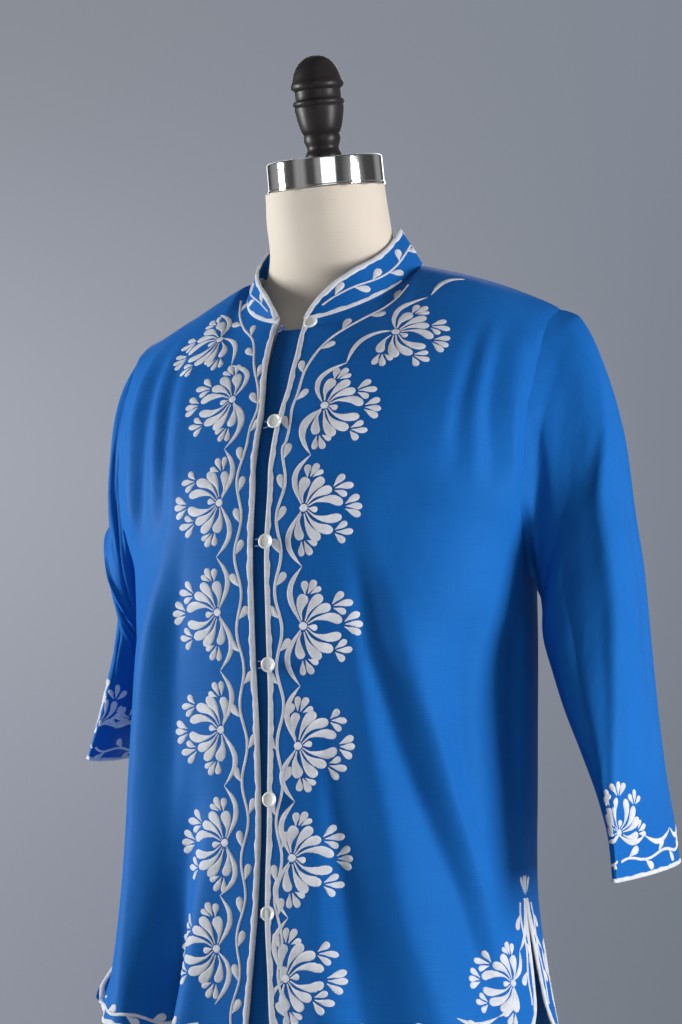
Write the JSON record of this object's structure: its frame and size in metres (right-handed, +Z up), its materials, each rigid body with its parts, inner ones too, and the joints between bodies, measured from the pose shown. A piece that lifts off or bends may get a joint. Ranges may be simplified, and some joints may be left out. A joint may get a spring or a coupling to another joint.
{
  "type": "embroidered blouse on dress form",
  "caption": "Blue poplin blouse with stand collar, three-quarter sleeves and white floral embroidery, on a limbless dress form with neck cap, turned finial and round base.",
  "frame": {"origin": "middle of the stand base's underside", "axes": "+Z up; the blouse's front faces -Y; the wearer's left is +X"},
  "size_m": [0.5626, 0.31, 1.1014],
  "materials": {
    "poplin": "polished cotton poplin, soft sheen",
    "thread": "white satin-stitched thread",
    "pearl": "pearl",
    "jersey": "matt ivory jersey cover",
    "chrome": "polished",
    "black_wood": "black lacquer, satin",
    "black_metal": "black, satin"
  },
  "bodies": {
    "root": {"front_left": "poplin", "front_right": "poplin", "back": "poplin", "underlap": "poplin", "collar": "poplin", "sleeve_left": "poplin", "sleeve_right": "poplin", "loop_1": "poplin", "loop_2": "poplin", "loop_3": "poplin", "loop_4": "poplin", "loop_5": "poplin", "loop_6": "poplin", "edge_front_left": "thread", "edge_front_right": "thread", "edge_back": "thread", "edge_sleeve_left": "thread", "edge_sleeve_right": "thread", "edge_collar_foot": "thread", "edge_collar_top": "thread", "button_1": "pearl", "button_2": "pearl", "button_3": "pearl", "button_4": "pearl", "button_5": "pearl", "button_6": "pearl", "form_torso": "jersey", "neck_cap": "chrome", "finial": "black_wood", "stand_base": "black_metal", "stand_pole": "black_metal"}
  },
  "joints": []
}
